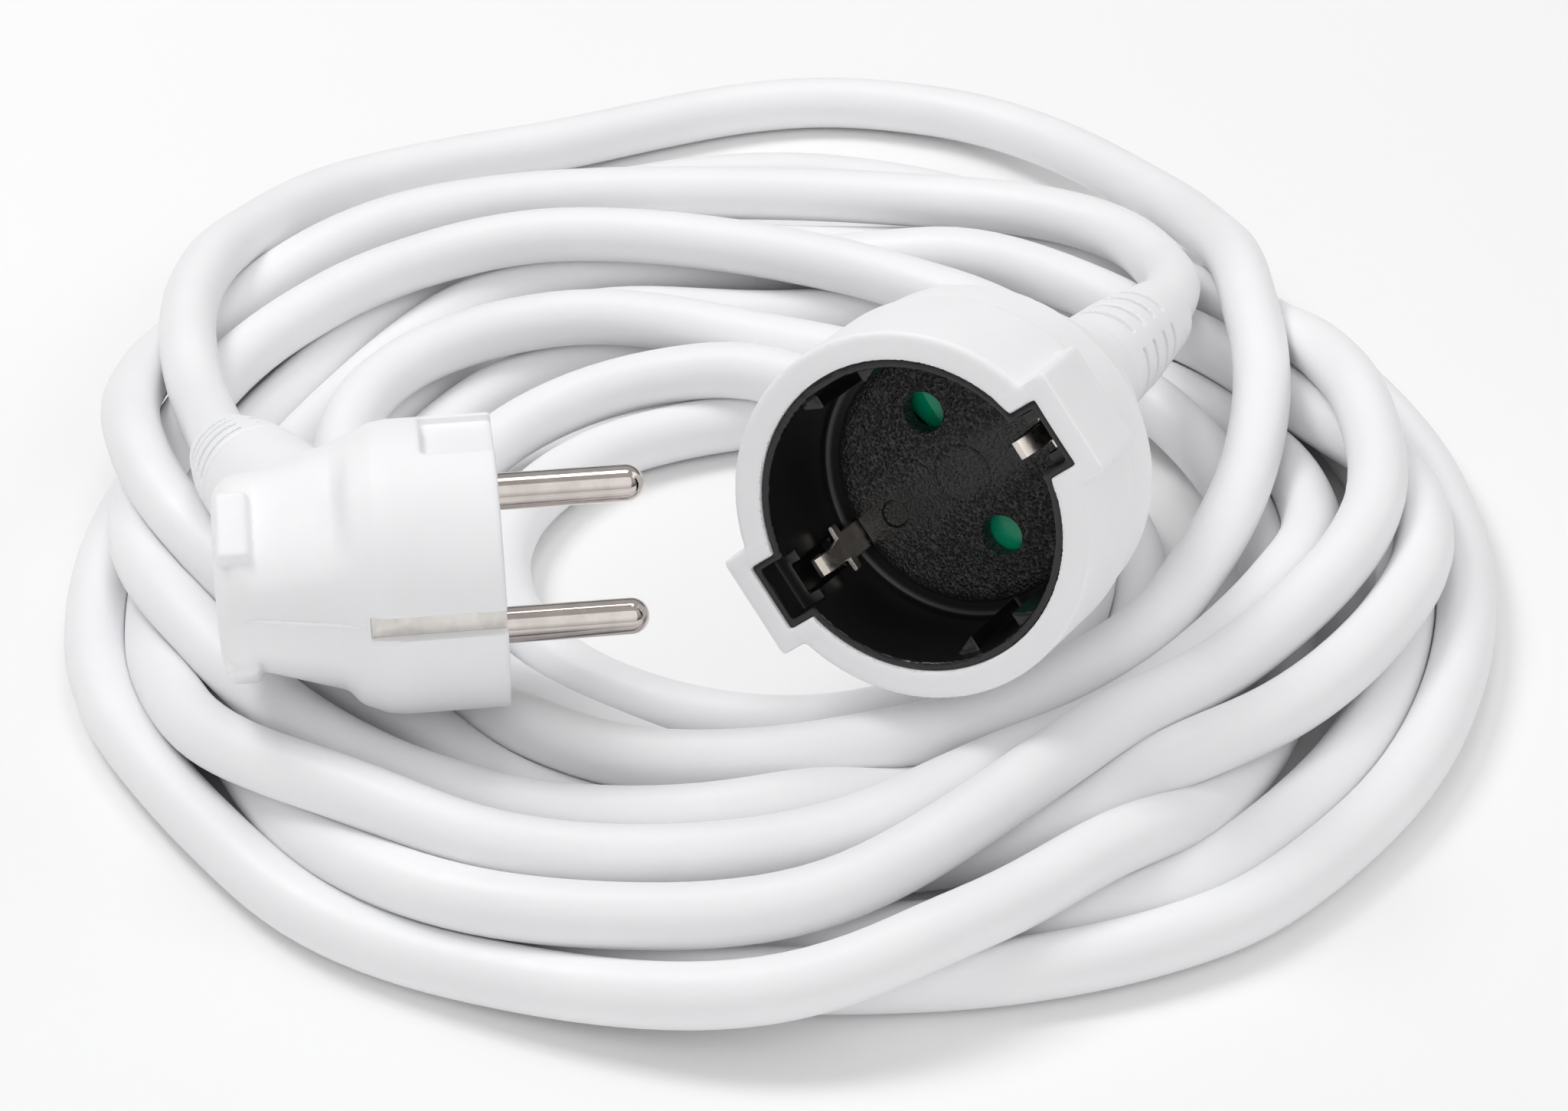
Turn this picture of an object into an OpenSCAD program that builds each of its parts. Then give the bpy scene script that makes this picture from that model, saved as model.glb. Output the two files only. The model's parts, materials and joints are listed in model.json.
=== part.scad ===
// Coiled mains extension cord: an earthed round coupler, an angled plug and
// a loosely coiled three-core lead. Units are millimetres, Z is up, the cord
// lies on Z = 0 and the coupler looks towards -Y.

/* [Cord] */

// Outer diameter of the lead's sheath
cord_diameter = 8.4; // [8:0.1:9.8]
// Outer radius of the coil
coil_radius = 100; // [80:1:130]
// Height of the coil
coil_height = 15.2; // [8:0.1:30]
// Height of the turns under the plug
coil_low_height = 13.4; // [8:0.1:16]
// Radius of the clear middle of the coil
coil_eye_radius = 28; // [20:1:60]
// Radius over the insulation of one core
core_radius = 1.45; // [1.2:0.05:1.7]

/* [Coupler] */

// Outer radius of the coupler's round body
shell_radius = 24.4; // [23:0.1:28]
// Length of the round body, face to rear rim
shell_length = 25; // [22:0.5:32]
// Length from the face to the strain relief
neck_end = 60; // [55:0.5:70]
// Width of the ears that house the earth clips
ear_width = 14.4; // [12:0.1:18]
// Reach of the ears from the axis
ear_reach = 27.2; // [26:0.1:30]
// Length of the ears along the axis
ear_length = 15; // [12:0.5:20]
// Outer radius of the black insert
insert_radius = 20.7; // [20:0.1:23]
// Radius of the recess that takes the plug
recess_radius = 19.6; // [19.3:0.1:20.5]
// Depth of the recess
recess_depth = 17.5; // [17:0.1:18.5]
// Radius of the two pin holes in the insert
pin_hole_radius = 2.75; // [2.5:0.05:3]
// Width of the notches for the earth clips
notch_width = 9.4; // [8:0.1:12]
// Reach of the notches from the axis
notch_reach = 24.1; // [22:0.1:26]
// Length of the coupler's strain relief
coupler_boot_length = 30; // [20:1:60]

/* [Plug] */

// Radius of the plug's front disc
plug_radius = 19; // [18:0.1:19.2]
// Radius of the round pins
pin_radius = 2.4; // [2.37:0.01:2.43]
// Length of the pins in front of the face
pin_length = 19; // [18.5:0.1:19.5]
// Distance between the two pins
pin_spacing = 19; // [18.5:0.1:19.5]
// Length of the plug behind its face
plug_length = 36.2; // [30:0.1:45]
// Backward slant of the cord outlet in degrees
outlet_slant = 22; // [0:1:45]
// Distance of the outlet's end from the plug's axis
outlet_length = 32.5; // [20:0.5:45]
// Length of the plug's strain relief
plug_boot_length = 12; // [10:0.5:40]

/* [Placement] */

// Centre of the coupler's face
coupler_place = [15.6, -64.6, 45.4];
// Turn of the coupler about Z in degrees
coupler_turn = -26; // [-180:1:180]
// Upward tilt of the coupler's face in degrees
coupler_tilt = 13; // [0:1:90]
// Roll of the coupler about its own axis in degrees
coupler_roll = -47; // [-180:1:180]
// Centre of the plug's face
plug_place = [-36.6, -57.6, 34];
// Turn of the plug about Z in degrees
plug_turn = 7; // [-180:1:180]
// Roll of the plug about its own axis in degrees
plug_roll = -11; // [-180:1:180]

/* [Hidden] */

$fn = 64;

white = [0.93, 0.93, 0.95];
black = [0.05, 0.05, 0.055];
green = [0.0, 0.42, 0.26];
nickel = [0.75, 0.72, 0.68];
brass = [0.8, 0.65, 0.35];
steel = [0.6, 0.6, 0.62];
brown = [0.35, 0.18, 0.08];
blue = [0.1, 0.25, 0.65];
lime = [0.55, 0.75, 0.1];

fit = 0.05;
cut = 1;
pin_offset = pin_spacing / 2;
cord_radius = cord_diameter / 2;

// Coupler, measured along its axis from the face towards the cord.
insert_front = 0.5;
floor_back = recess_depth + 3.1;
shutter_front = floor_back + 0.3;
shutter_back = shutter_front + 2.2;
carrier_front = shutter_back + 0.3;
carrier_back = 33.2;
carrier_radius = 15;
sleeve_front = carrier_front + 1;
sleeve_back = 38;
sleeve_radius = 3.3;
sleeve_bore = 2.45;
crimp_radius = 2.1;
crimp_length = 4;
strap_thickness = 0.7;
clip_inner = 17.25;
clip_outer = clip_inner + strap_thickness;
clip_width = 4;
clip_front = 3.6;
ear_notch_depth = 14;
pivot_radius = 1;
coupler_jacket_end = 53;
spigot_radius = 6;
spigot_length = 5.8;
boot_base_radius = 8;
boot_tip_radius = 5.4;

// Plug, measured from the face towards the back.
bridge_radius = 14.5;
bridge_depth = 6;
root_radius = 2.7;
collar_radius = 3.4;
collar_depth = 3;
tail_radius = 2;
tail_end = 12;
plug_strap_inner = 16.6;
plug_strap_outer = 17.2;
plug_strap_width = 3;
plug_strap_end = 17;
earth_hole_radius = 2.6;
earth_hole_offset = -10;
earth_tube_radius = 3.2;
earth_crimp_offset = 3;
earth_crimp_length = 3.5;
outlet_start = 18.6;
plug_jacket_end = 14;

// The three cores sit in a triangle inside the sheath.
core_side = 1.75;
core_drop = 1;
core_lift = 2;

// The coil lies in front of the top loop of the plug's lead.
coil_centre = [0, -18, 0];
coil_back_centre = [0, 0, 0];
coil_back_radius = coil_radius - 7;
coil_eye = [-13, -19, 0];
plug_pocket_low = [-110, -95, coil_low_height];
plug_pocket_size = [76, 148, 30];

// Routes of the two stretches that aren't coiled, from each strain relief.
coupler_lead_points = [
    [57, 24.5, 22.2], [58, 34, 19.2], [56, 43.5, 15.8],
    [51.5, 52.5, 12], [45, 59.5, 8.4], [37, 64.5, 5.8]
];
plug_lead_points = [
    [-81.2, -7, 22], [-85, 6, 19.3], [-87.3, 17.4, 18], [-88.1, 25.7, 17.2],
    [-87.7, 33.5, 16], [-85.7, 43.4, 13.6], [-82.9, 53.5, 10.8], [-79, 64.7, 7.8],
    [-73, 75.3, 5.2], [-65.7, 82.3, 4.3], [-53, 91, 4.2], [-38, 98, 4.2],
    [-22, 106, 4.2], [-8, 111.5, 4.2], [6, 113.8, 4.2], [18, 112, 4.2], [30, 107.5, 4.2], [40, 100, 4.6],
    [48.5, 90, 6.5], [56, 77, 11], [62, 64, 16.5], [66, 51, 19.5],
    [69.5, 34, 19.6], [70.5, 15, 19.6], [68, -2, 19.6], [63, -18, 19.6],
    [56, -33, 19.6], [50, -44, 19.4], [42, -54, 17], [33, -60, 12]
];
tube_sides = 12;

function unit(v) = v / norm(v);

function about_x(v, a) = [
    v.x,
    v.y * cos(a) - v.z * sin(a),
    v.y * sin(a) + v.z * cos(a)
];

function about_y(v, a) = [
    v.x * cos(a) + v.z * sin(a),
    v.y,
    v.z * cos(a) - v.x * sin(a)
];

function about_z(v, a) = [
    v.x * cos(a) - v.y * sin(a),
    v.x * sin(a) + v.y * cos(a),
    v.z
];

// A point of the coupler's own frame, placed in the part's frame.
function from_coupler(p) = coupler_place
    + about_z(about_x(about_z(p, coupler_roll), 90 - coupler_tilt), coupler_turn);

// A point of the plug's own frame, placed in the part's frame.
function from_plug(p) = plug_place
    + about_z(about_y(about_z(p, plug_roll), 90), plug_turn);

// A point of the plug's own frame, at a distance along its cord outlet.
function outlet(s, side = 0, lift = 0) = [
    side,
    s * cos(outlet_slant) + lift * sin(outlet_slant),
    -outlet_start - s * sin(outlet_slant) + lift * cos(outlet_slant)
];

coupler_route = concat(
    [for (t = [coupler_jacket_end, 72, neck_end + coupler_boot_length]) from_coupler([0, 0, -t])],
    coupler_lead_points
);
plug_route = concat(
    [for (s = [plug_jacket_end, 29, outlet_length + plug_boot_length]) from_plug(outlet(s))],
    plug_lead_points
);

function heading(path, i) =
    unit(path[min(i + 1, len(path) - 1)] - path[max(i - 1, 0)]);

function ring(path, i, r) =
    let (t = heading(path, i), s = unit(cross(t, [0, 0, 1])), u = cross(s, t))
    [for (k = [0 : tube_sides - 1])
        path[i] + r * (cos(360 * k / tube_sides) * s + sin(360 * k / tube_sides) * u)];

module at_coupler() {
    translate(coupler_place)
    rotate([0, 0, coupler_turn])
    rotate([90 - coupler_tilt, 0, 0])
    rotate([0, 0, coupler_roll])
    children();
}

module at_plug() {
    translate(plug_place)
    rotate([0, 0, plug_turn])
    rotate([0, 90, 0])
    rotate([0, 0, plug_roll])
    children();
}

// Places children at the plug's cord outlet, with Z along the cord.
module at_outlet(s) {
    translate(outlet(s))
    rotate([-90 - outlet_slant, 0, 0])
    children();
}

// A box that is centred in X and spans the given Y and Z.
module slab(width, y, z) {
    translate([-width / 2, y[0], z[0]])
    cube([width, y[1] - y[0], z[1] - z[0]]);
}

// A round bar between two heights on a vertical line.
module bar(x, y, z, r) {
    translate([x, y, z[0]])
    cylinder(r = r, h = z[1] - z[0]);
}

// A round bar between two points.
module rod(a, b, r) {
    d = b - a;
    translate(a)
    rotate([0, acos(d.z / norm(d)), atan2(d.y, d.x)])
    cylinder(r = r, h = norm(d));
}

// A cord's plain solid along a route.
module tube(path, r) {
    last = len(path) - 1;
    n = tube_sides;
    polyhedron(
        points = [for (i = [0 : last]) each ring(path, i, r)],
        faces = concat(
            [[for (k = [0 : n - 1]) k]],
            [[for (k = [0 : n - 1]) last * n + n - 1 - k]],
            [for (i = [0 : last - 1], k = [0 : n - 1])
                [i * n + k, (i + 1) * n + k, (i + 1) * n + (k + 1) % n, i * n + (k + 1) % n]]
        )
    );
}

// A strain relief along +Z, slit from two sides in turn.
module boot(length, pitch, slit, depth) {
    slits = 4;
    arc = 70;
    difference() {
        cylinder(r1 = boot_base_radius, r2 = boot_tip_radius, h = length);
        translate([0, 0, -cut])
        cylinder(r = cord_radius + fit, h = length + 2 * cut);
        for (i = [1 : slits], quarter = [0 : 3]) {
            z = pitch * (i + floor(quarter / 2) / 2);
            r = boot_base_radius + (boot_tip_radius - boot_base_radius) * z / length;
            translate([0, 0, z])
            rotate([0, 0, 45 + 90 * quarter - arc / 2])
            rotate_extrude(angle = arc)
            translate([r - depth, 0])
            square([depth + cut, slit]);
        }
    }
}

// A plate with the given outline in Y and Z, centred in X.
module plate(width, outline) {
    rotate([90, 0, 90])
    translate([0, 0, -width / 2])
    linear_extrude(width)
    polygon(outline);
}

module coupler_shell() {
    rear = shell_length;
    rear_radius = shell_radius - 0.9;
    ear_fall = 1.8;
    step = 16;
    color(white)
    at_coupler()
    difference() {
        union() {
            rotate_extrude()
            polygon([
                [0, 0], [shell_radius - 1, 0], [shell_radius - 0.3, -0.4], [shell_radius, -1.2],
                [shell_radius, -step], [rear_radius, -step - 0.9], [rear_radius, -rear],
                [rear_radius - 0.9, -rear - 0.4],
                [21.6, -rear - 3], [19, -rear - 9], [16.4, -rear - 15], [13.2, -rear - 21],
                [10.6, -rear - 26], [8.9, -rear - 31], [boot_base_radius + 0.4, -neck_end],
                [0, -neck_end]
            ]);
            for (side = [0, 180])
            rotate([0, 0, side])
            plate(ear_width, [
                [0, 0], [ear_reach, 0], [ear_reach - ear_fall, -ear_length], [0, -ear_length]
            ]);
        }
        bar(0, 0, [-floor_back - fit, cut], insert_radius + fit);
        for (side = [0, 180])
        rotate([0, 0, side]) {
            slab(notch_width + 2 * fit, [0, notch_reach + fit], [-ear_notch_depth - fit, cut]);
            slab(clip_width + 2 * fit, [0, clip_outer + fit], [-carrier_back - 1, -floor_back]);
        }
        rotate_extrude()
        polygon([
            [0, -floor_back], [carrier_radius + fit, -floor_back], [carrier_radius + fit, -37],
            [12.8, -42.2], [6.4, -51], [spigot_radius + fit, -neck_end + spigot_length + 0.2],
            [spigot_radius + fit, -neck_end - cut], [0, -neck_end - cut]
        ]);
    }
}

module coupler_insert() {
    wall = 1;
    rib_outline = [[17.2, 3.4], [18.6, 6.6], [19.5, 6.6], [20, 3.4]];
    rib_top = 3;
    color(black)
    at_coupler()
    difference() {
        union() {
            bar(0, 0, [-floor_back, -insert_front], insert_radius);
            for (side = [0, 180])
            rotate([0, 0, side])
            slab(notch_width, [0, notch_reach], [-ear_notch_depth, -insert_front]);
        }
        difference() {
            bar(0, 0, [-recess_depth, cut], recess_radius);
            for (side = [-1, 1], half = [-1, 1])
            translate([0, 0, -recess_depth - cut])
            linear_extrude(recess_depth + cut - rib_top)
            polygon([for (p = rib_outline) [side * p.x, half * p.y]]);
        }
        for (side = [0, 180])
        rotate([0, 0, side]) {
            slab(notch_width - 2 * wall, [0, notch_reach - wall], [-ear_notch_depth + wall, cut]);
            slab(clip_width + 2 * fit, [clip_inner - fit, clip_outer + fit], [-floor_back - cut, 0]);
            translate([pin_offset, 0, -floor_back - cut])
            cylinder(r = pin_hole_radius, h = floor_back);
        }
        // Plain ring and dimple moulded in the floor.
        translate([0, 0, -recess_depth - 0.25])
        difference() {
            cylinder(r = 3.9, h = cut);
            translate([0, 0, -cut])
            cylinder(r = 3.6, h = 3 * cut);
        }
        bar(0, -11.8, [-recess_depth - 0.8, 0], 1.8);
    }
}

module contact_carrier() {
    spring_pocket = 3.7;
    color(black)
    at_coupler()
    difference() {
        bar(0, 0, [-carrier_back, -carrier_front], carrier_radius);
        for (side = [-1, 1]) {
            bar(side * pin_offset, 0, [-carrier_back - cut, -sleeve_front], sleeve_radius + fit);
            bar(side * pin_offset, 0, [-carrier_back, -carrier_front + cut], pin_hole_radius);
        }
        bar(0, 0, [-30, 0], pivot_radius);
        bar(0, 0, [-carrier_front - 2.6, 0], spring_pocket);
    }
}

module shutter() {
    hub_radius = 4.2;
    blade_radius = 13.2;
    half_angle = 21;
    ramp_angle = 24;
    color(green)
    at_coupler()
    difference() {
        translate([0, 0, -shutter_back])
        linear_extrude(shutter_back - shutter_front)
        union() {
            circle(r = hub_radius);
            for (side = [0, 180])
            rotate(side)
            intersection() {
                circle(r = blade_radius);
                polygon([
                    [0, 0], [2 * blade_radius, -2 * blade_radius * tan(half_angle)],
                    [2 * blade_radius, 2 * blade_radius * tan(half_angle)]
                ]);
            }
        }
        bar(0, 0, [-shutter_back - cut, 0], pivot_radius + fit);
        // Ramps that the pins push aside.
        for (side = [0, 180])
        rotate([0, 0, side])
        translate([hub_radius + 1, 0.4, -shutter_front])
        rotate([-ramp_angle, 0, 0])
        cube([blade_radius, 2 * blade_radius, 6]);
    }
}

module shutter_pivot() {
    color(steel)
    at_coupler()
    bar(0, 0, [-29.9, -floor_back - fit], pivot_radius);
}

module shutter_spring() {
    wire = 0.4;
    coil = 2.6;
    color(steel)
    at_coupler()
    for (turn = [0 : 2])
    translate([0, 0, -carrier_front - 2 + turn * 0.7])
    rotate_extrude()
    translate([coil, 0])
    circle(r = wire, $fn = 16);
}

module coupler_earth_strap() {
    bar_front = carrier_back + 0.1;
    bar_back = bar_front + strap_thickness;
    lip = 19.4;
    color(nickel)
    at_coupler()
    union() {
        slab(clip_width, [-clip_outer, clip_outer], [-bar_back, -bar_front]);
        for (side = [0, 180])
        rotate([0, 0, side])
        plate(clip_width, [
            [clip_inner, -bar_back], [clip_outer, -bar_back], [clip_outer, -8.5],
            [lip + strap_thickness, -clip_front], [lip, -clip_front], [clip_inner, -8]
        ]);
    }
}

module sleeve(side) {
    slit = 0.8;
    color(brass)
    at_coupler()
    difference() {
        bar(side * pin_offset, 0, [-sleeve_back, -sleeve_front], sleeve_radius);
        bar(side * pin_offset, 0, [-sleeve_back + 1, 0], sleeve_bore);
        translate([side * pin_offset, 0, -sleeve_back + 5])
        slab(slit, [0, sleeve_radius + cut], [0, sleeve_back]);
    }
}

module live_sleeve() {
    sleeve(1);
}

module neutral_sleeve() {
    sleeve(-1);
}

module coupler_crimps() {
    strap_back = carrier_back + 0.1 + strap_thickness;
    color(brass)
    at_coupler()
    union() {
        for (side = [-1, 1])
        bar(side * pin_offset, 0, [-sleeve_back - crimp_length, -sleeve_back], crimp_radius);
        bar(0, 0, [-strap_back - crimp_length, -strap_back], crimp_radius);
    }
}

module coupler_core(from, to) {
    at_coupler()
    difference() {
        rod(from, to, core_radius);
        bar(from.x, from.y, [from.z, from.z + 2 * cut], 2 * core_radius);
        bar(to.x, to.y, [to.z - 2 * cut, to.z], 2 * core_radius);
    }
}

module coupler_live_core() {
    color(brown)
    coupler_core(
        [pin_offset, 0, -sleeve_back - crimp_length],
        [core_side, -core_drop, -coupler_jacket_end]
    );
}

module coupler_neutral_core() {
    color(blue)
    coupler_core(
        [-pin_offset, 0, -sleeve_back - crimp_length],
        [-core_side, -core_drop, -coupler_jacket_end]
    );
}

module coupler_earth_core() {
    color(lime)
    coupler_core(
        [0, 0, -carrier_back - 0.1 - strap_thickness - crimp_length],
        [0, core_lift, -coupler_jacket_end]
    );
}

module coupler_strain_relief() {
    color(white)
    at_coupler()
    translate([0, 0, -neck_end])
    rotate([180, 0, 0])
    union() {
        boot(coupler_boot_length, 4.4, 1.2, 1.4);
        difference() {
            bar(0, 0, [-spigot_length, 0], spigot_radius);
            bar(0, 0, [-spigot_length - cut, cut], cord_radius + fit);
        }
    }
}

module plug_body() {
    grip_angle = 56;
    panel_width = 20;
    panel_front = [15.4, -20.3];
    panel_back = [12, -31.4];
    pad_width = 10;
    pad_top = 13.2;
    pad_back = -35.6;
    groove_width = 11.2;
    groove_depth = 2;
    groove_length = 9.3;
    color(white)
    at_plug()
    difference() {
        union() {
            rotate_extrude()
            polygon([
                [0, 0], [plug_radius - 0.5, 0], [plug_radius, -0.5], [plug_radius, -13.5],
                [18.7, -15.6], [17.7, -18], [16.4, -20.8], [14.9, -26], [13.5, -30.6],
                [12.5, -33.4], [10.8, -35.1], [7.6, -36], [0, -plug_length]
            ]);
            at_outlet(0)
            cylinder(r1 = 9.8, r2 = boot_base_radius, h = outlet_length);
            for (side = [-1, 1])
            rotate([0, 0, 180 + side * grip_angle])
            slab(pad_width, [0, pad_top], [pad_back, panel_back.y]);
        }
        for (side = [-1, 1])
        rotate([0, 0, 180 + side * grip_angle])
        plate(panel_width, [
            panel_back, panel_front, [plug_radius, panel_front.y], [plug_radius, panel_back.y]
        ]);
        for (side = [90, 270])
        rotate([0, 0, side])
        slab(groove_width, [plug_radius - groove_depth, plug_radius + cut], [-groove_length, cut]);
        plug_voids();
    }
}

// The space that the inner pieces take in the plug's moulding.
module plug_voids() {
    strap_slot = plug_strap_width + 2 * fit;
    earth_crimp_end = plug_strap_end + earth_crimp_length + fit;
    bar(0, 0, [-bridge_depth - fit, cut], bridge_radius + fit);
    for (side = [-1, 1]) {
        bar(side * pin_offset, 0, [-tail_end - fit, 0], tail_radius + fit);
        bar(side * pin_offset, 0, [-tail_end - crimp_length, -tail_end], crimp_radius + fit);
        rod(plug_core_start(side), plug_core_end(side), core_radius + fit);
    }
    rod(plug_earth_start, plug_earth_end, core_radius + fit);
    bar(0, earth_crimp_offset, [-earth_crimp_end, -plug_strap_end], crimp_radius + fit);
    bar(0, earth_hole_offset, [-plug_strap_end, 0], earth_tube_radius + fit);
    for (side = [0, 180])
    rotate([0, 0, side])
    slab(strap_slot, [plug_strap_inner - fit, plug_radius + cut], [-plug_strap_end, cut]);
    slab(strap_slot, [-plug_strap_outer, plug_strap_outer], [-plug_strap_end - fit, -plug_strap_end + 0.7]);
    at_outlet(plug_jacket_end - 0.1)
    cylinder(r = cord_radius + fit, h = outlet_length);
}

function plug_core_start(side) = [side * pin_offset, 0, -tail_end - crimp_length];

function plug_core_end(side) = outlet(plug_jacket_end, side * core_side, -core_drop);

plug_earth_start = [0, earth_crimp_offset, -plug_strap_end - earth_crimp_length];
plug_earth_end = outlet(plug_jacket_end, 0, core_lift);

// A core with its ends cut flat where it meets its crimp and the sheath.
module plug_core(from, to) {
    at_plug()
    difference() {
        rod(from, to, core_radius);
        bar(from.x, from.y, [from.z, from.z + 2 * cut], 2 * core_radius);
        at_outlet(plug_jacket_end)
        cylinder(r = cord_radius, h = 2 * cut);
    }
}

module plug_bridge() {
    color(white)
    at_plug()
    difference() {
        bar(0, 0, [-bridge_depth, 0], bridge_radius);
        for (side = [-1, 1]) {
            bar(side * pin_offset, 0, [-bridge_depth - cut, cut], root_radius + fit);
            bar(side * pin_offset, 0, [-bridge_depth - cut, -collar_depth], collar_radius + fit);
        }
        bar(0, earth_hole_offset, [-bridge_depth - cut, cut], earth_hole_radius);
    }
}

module pin(side) {
    color(nickel)
    at_plug()
    union() {
        bar(side * pin_offset, 0, [0, pin_length - pin_radius], pin_radius);
        translate([side * pin_offset, 0, pin_length - pin_radius])
        sphere(r = pin_radius);
        bar(side * pin_offset, 0, [-collar_depth - fit, 0], root_radius);
        bar(side * pin_offset, 0, [-bridge_depth, -collar_depth - fit], collar_radius);
        bar(side * pin_offset, 0, [-tail_end, -bridge_depth], tail_radius);
    }
}

module live_pin() {
    pin(1);
}

module neutral_pin() {
    pin(-1);
}

module plug_earth_strap() {
    strip = plug_strap_outer - plug_strap_inner;
    color(nickel)
    at_plug()
    union() {
        slab(plug_strap_width, [-plug_strap_outer, plug_strap_outer], [-plug_strap_end, strip - plug_strap_end]);
        for (side = [0, 180])
        rotate([0, 0, side])
        slab(plug_strap_width, [plug_strap_inner, plug_strap_outer], [-plug_strap_end, -0.2]);
        difference() {
            bar(0, earth_hole_offset, [-plug_strap_end, -bridge_depth - 0.1], earth_tube_radius);
            bar(0, earth_hole_offset, [-plug_strap_end + strip, 0], earth_hole_radius);
        }
    }
}

module plug_crimps() {
    color(brass)
    at_plug()
    union() {
        for (side = [-1, 1])
        bar(side * pin_offset, 0, [-tail_end - crimp_length, -tail_end], crimp_radius);
        bar(0, earth_crimp_offset, [-plug_strap_end - earth_crimp_length, -plug_strap_end], crimp_radius);
    }
}

module plug_live_core() {
    color(brown)
    plug_core(plug_core_start(1), plug_core_end(1));
}

module plug_neutral_core() {
    color(blue)
    plug_core(plug_core_start(-1), plug_core_end(-1));
}

module plug_earth_core() {
    color(lime)
    plug_core(plug_earth_start, plug_earth_end);
}

module plug_strain_relief() {
    color(white)
    at_plug()
    at_outlet(outlet_length)
    boot(plug_boot_length, 2.2, 0.7, 0.8);
}

module coupler_lead() {
    color(white)
    tube(coupler_route, cord_radius);
}

module plug_lead() {
    color(white)
    tube(plug_route, cord_radius);
}

// A flat round solid with rounded edges.
module coil_disc(radius) {
    r = cord_radius;
    rotate_extrude($fn = 128)
    union() {
        square([radius - r, coil_height]);
        translate([0, r])
        square([radius, coil_height - 2 * r]);
        for (z = [r, coil_height - r])
        translate([radius - r, z])
        circle(r = r);
    }
}

module cord_coil() {
    color(white)
    difference() {
        union() {
            translate(coil_centre)
            coil_disc(coil_radius);
            translate(coil_back_centre)
            coil_disc(coil_back_radius);
        }
        translate(coil_eye + [0, 0, -cut])
        cylinder(r = coil_eye_radius, h = coil_height + 2 * cut);
        translate(plug_pocket_low)
        cube(plug_pocket_size);
    }
}

coupler_shell();
coupler_insert();
contact_carrier();
shutter();
shutter_pivot();
shutter_spring();
coupler_earth_strap();
live_sleeve();
neutral_sleeve();
coupler_crimps();
coupler_live_core();
coupler_neutral_core();
coupler_earth_core();
coupler_strain_relief();
plug_body();
plug_bridge();
live_pin();
neutral_pin();
plug_earth_strap();
plug_crimps();
plug_live_core();
plug_neutral_core();
plug_earth_core();
plug_strain_relief();
coupler_lead();
plug_lead();
cord_coil();
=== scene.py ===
"""Looks of the coiled extension cord: its lead, mouldings, contacts, floor, light and camera."""

import json
import math
import bmesh
import bpy
import numpy as np
from mathutils import Matrix, Vector


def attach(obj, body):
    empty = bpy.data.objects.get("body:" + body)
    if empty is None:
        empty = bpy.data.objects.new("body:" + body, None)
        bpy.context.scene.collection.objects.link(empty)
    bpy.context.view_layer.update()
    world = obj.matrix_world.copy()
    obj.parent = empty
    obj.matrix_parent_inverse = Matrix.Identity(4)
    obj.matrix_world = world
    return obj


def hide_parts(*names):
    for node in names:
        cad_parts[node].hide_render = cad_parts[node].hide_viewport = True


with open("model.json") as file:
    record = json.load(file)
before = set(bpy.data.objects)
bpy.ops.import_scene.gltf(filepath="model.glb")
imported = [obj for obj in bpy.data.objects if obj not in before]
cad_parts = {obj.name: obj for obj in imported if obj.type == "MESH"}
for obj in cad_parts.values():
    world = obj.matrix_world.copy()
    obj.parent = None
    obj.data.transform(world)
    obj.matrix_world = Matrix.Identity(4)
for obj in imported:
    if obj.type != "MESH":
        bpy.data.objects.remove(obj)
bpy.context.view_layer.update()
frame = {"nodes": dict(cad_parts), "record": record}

# Lengths below are in millimetres, and meshes are scaled to metres as they are made.
MM = 0.001
BODY = "cord"
SHARP_ANGLE = math.radians(40)

# Lead
CORD_DIAMETER = 8.4
CORD_RADIUS = CORD_DIAMETER / 2
CORD_SIDES = 20
TIGHTEST_BEND = 37
STEP = 3.0
# Points on either side that a bend is measured over
BEND_REACH = 4
# Lengths that the plug and the coupler hold in place
HELD = (60, 60)
# Places on the plug's cord outlet and behind the coupler's face that the lead runs through
OUTLET_STATIONS = (16, 30, 44.5)
COUPLER_STATIONS = (90, 75, 61)
# Settling: rounds, the share of them that sink fully, and the sinking in each round
ROUNDS = 400
SINKING_SHARE = 0.9
SINK, LAST_SINK = 0.10, 0.03
# Settling: pull towards the route, stiffness upwards, and stiffness sideways
HOLD, STIFF, SIDE_STIFF = 0.06, 0.25, 0.3
# Share of the way that a tight bend opens in a round
EASE = 0.5
# Settling: the spare room and the least length between points that may touch
TOUCH_ROOM, TOUCH_APART = 3, 26
# Settling: rounds between searches for touching points, and passes that part them
SEARCH_EVERY, PARTINGS = 8, 3
SMOOTHINGS = 3

# The route from the plug's boot over the back of the coil, as in the part's source
PLUG_LEAD = [
    (-81.2, -7, 22), (-85, 6, 19.3), (-87.3, 17.4, 18), (-88.1, 25.7, 17.2),
    (-87.7, 33.5, 16), (-85.7, 43.4, 13.6), (-82.9, 53.5, 10.8), (-79, 64.7, 7.8),
    (-73, 75.3, 5.2), (-65.7, 82.3, 4.3), (-53, 91, 4.2), (-38, 98, 4.2),
    (-22, 106, 4.2), (-8, 111.5, 4.2), (6, 113.8, 4.2), (18, 112, 4.2),
    (30, 107.5, 4.2), (40, 100, 4.6), (48.5, 90, 6.5), (56, 77, 11),
    (62, 64, 16.5), (66, 51, 19.5), (69.5, 34, 19.6), (70.5, 15, 19.6),
    (68, -2, 19.6), (63, -18, 19.6), (56, -33, 19.6), (50, -44, 19.4),
]
# The route from the coil up to the coupler's boot
COUPLER_LEAD = [
    (45, 59.5, 8.4), (51.5, 52.5, 12), (56, 43.5, 15.8), (58, 34, 19.2), (57, 24.5, 22.2),
]
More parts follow.
